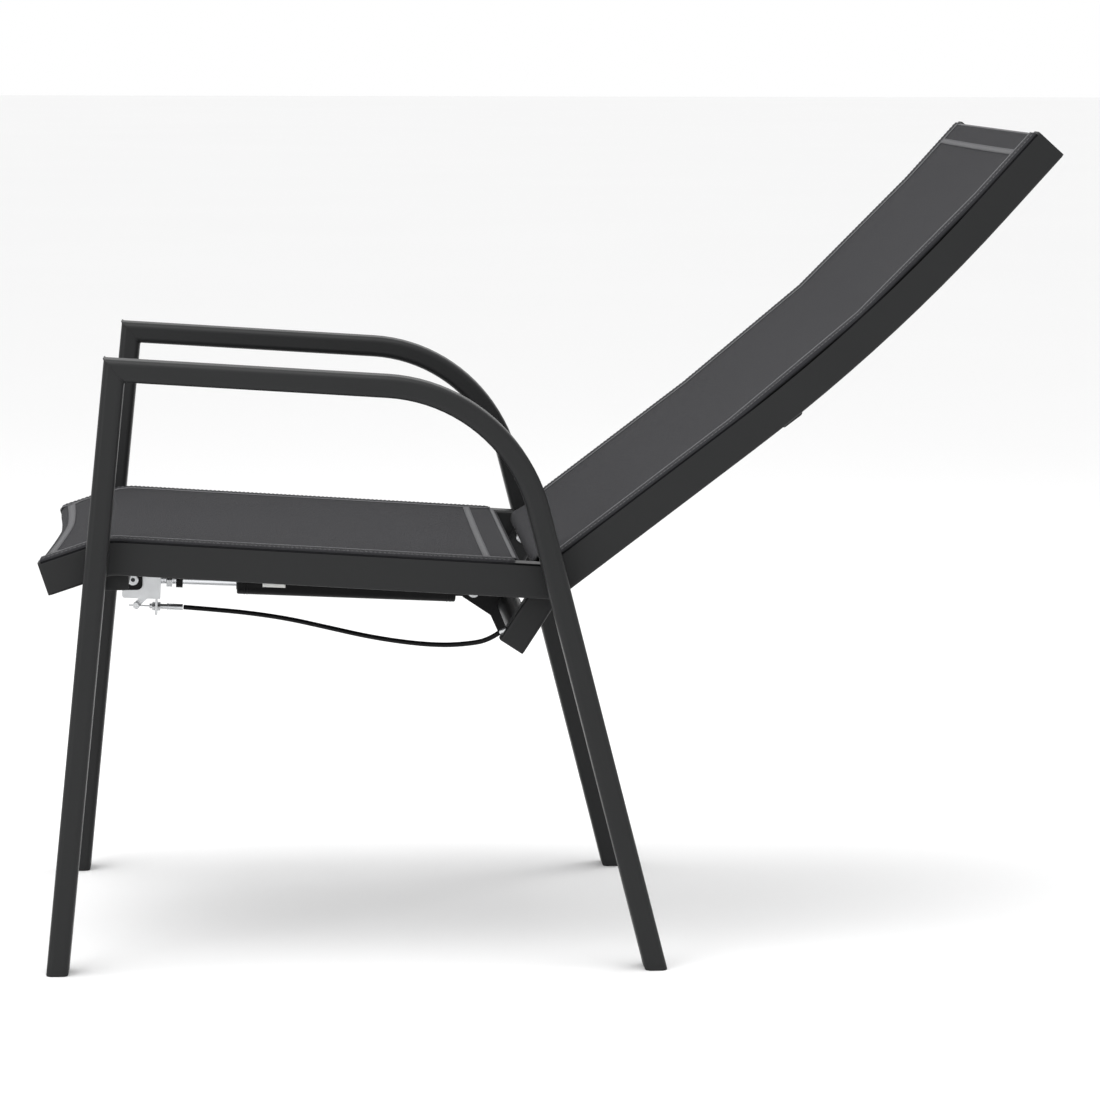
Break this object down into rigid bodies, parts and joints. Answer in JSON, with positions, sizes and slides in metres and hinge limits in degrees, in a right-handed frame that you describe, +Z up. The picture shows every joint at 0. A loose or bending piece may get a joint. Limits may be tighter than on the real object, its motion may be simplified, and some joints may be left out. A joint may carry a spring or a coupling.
{
  "type": "reclining garden armchair",
  "caption": "High-back garden armchair with armrests, a fixed sling seat and a sling back that leans back on a hinge, held by a cable-released gas spring under the seat",
  "frame": {"origin": "on the floor, under the middle of the overall length and width with the back leant right down", "axes": "+X from the seat's front edge to the back, +Y to the sitter's right, +Z up"},
  "size_m": [1.0227, 0.604, 0.8381],
  "materials": {
    "powder_coat": "matt anthracite powder coat on aluminium",
    "sling_fabric": "anthracite woven mesh",
    "cap_plastic": "matt dark grey",
    "welt_plastic": "matt black",
    "black_plastic": "satin black",
    "nylon": "natural nylon",
    "chrome_rod": "polished hard chrome",
    "cylinder_enamel": "satin black enamel",
    "bracket_enamel": "satin black enamel",
    "zinc_steel": "zinc plated"
  },
  "bodies": {
    "frame": {"left_front_leg": "powder_coat", "right_front_leg": "powder_coat", "left_arm_tube": "powder_coat", "right_arm_tube": "powder_coat", "left_front_foot": "cap_plastic", "right_front_foot": "cap_plastic", "left_rear_foot": "cap_plastic", "right_rear_foot": "cap_plastic", "left_seat_rail": "powder_coat", "right_seat_rail": "powder_coat", "left_seat_rail_cap": "cap_plastic", "right_seat_rail_cap": "cap_plastic", "left_seat_welt": "welt_plastic", "right_seat_welt": "welt_plastic", "left_spring_plate": "bracket_enamel", "right_spring_plate": "bracket_enamel", "seat_front_bar": "powder_coat", "seat_rear_bar": "powder_coat", "spring_cross_tube": "powder_coat", "spring_bolt": "zinc_steel", "seat_sling": "sling_fabric", "hinge_bolts": "zinc_steel", "hinge_washers": "zinc_steel", "cable_housing": "black_plastic"},
    "back": {"left_back_rail": "powder_coat", "right_back_rail": "powder_coat", "left_back_rail_cap": "cap_plastic", "right_back_rail_cap": "cap_plastic", "left_back_welt": "welt_plastic", "right_back_welt": "welt_plastic", "left_hinge_arm": "powder_coat", "right_hinge_arm": "powder_coat", "left_hinge_arm_cap": "cap_plastic", "right_hinge_arm_cap": "cap_plastic", "left_rear_plate": "bracket_enamel", "right_rear_plate": "bracket_enamel", "hinge_bushes": "nylon", "back_sleeve_bar": "powder_coat", "spring_bar": "powder_coat", "back_top_bar": "powder_coat", "back_brace": "powder_coat", "back_sling": "sling_fabric", "spring_rear_pin": "zinc_steel", "cable_entry": "zinc_steel"},
    "strut": {"release_head": "zinc_steel", "release_pivot_pin": "zinc_steel", "spring_rod": "chrome_rod", "spring_locknut": "zinc_steel", "spring_buffer": "black_plastic", "cable_adjuster": "zinc_steel", "adjuster_nuts": "zinc_steel", "cable_ferrule": "zinc_steel"},
    "strut_cylinder": {"spring_cylinder": "cylinder_enamel", "spring_eye": "cylinder_enamel"},
    "release_arm_body": {"release_arm": "zinc_steel", "wire_clamp": "zinc_steel", "inner_wire": "zinc_steel"},
    "release_pin_body": {"release_pin": "chrome_rod"}
  },
  "joints": [
    {"name": "back_recline", "type": "hinge", "parent": "frame", "child": "back", "pos_m": [-0.002, 0, 0.381], "axis": [0, -1, 0], "range_deg": [0, 32]},
    {"name": "strut_swing", "type": "hinge", "parent": "frame", "child": "strut", "pos_m": [-0.424, 0, 0.363], "axis": [0, -1, 0], "range_deg": [-4.6, 0.2]},
    {"name": "strut_slide", "type": "slide", "parent": "strut", "child": "strut_cylinder", "axis": [0.9991, 0, -0.0419], "range_m": [-0.0005, 0.0285]},
    {"name": "release_arm_swing", "type": "hinge", "parent": "strut", "child": "release_arm_body", "pos_m": [-0.40976, 0, 0.36841], "axis": [0, -1, 0], "range_deg": [0, 6], "stiffness_Nm_per_rad": 0.6, "springref_deg": -2.86},
    {"name": "release_pin_slide", "type": "slide", "parent": "strut", "child": "release_pin_body", "axis": [0.9991, 0, -0.0419], "range_m": [-0.0001, 0.0012]}
  ],
  "couplings": [
    {"joint": "strut_swing", "follows": "back_recline", "ratio": -0.1364},
    {"joint": "strut_slide", "follows": "back_recline", "m_per_rad": 0.05},
    {"joint": "release_pin_slide", "follows": "release_arm_swing", "m_per_rad": 0.0065}
  ]
}
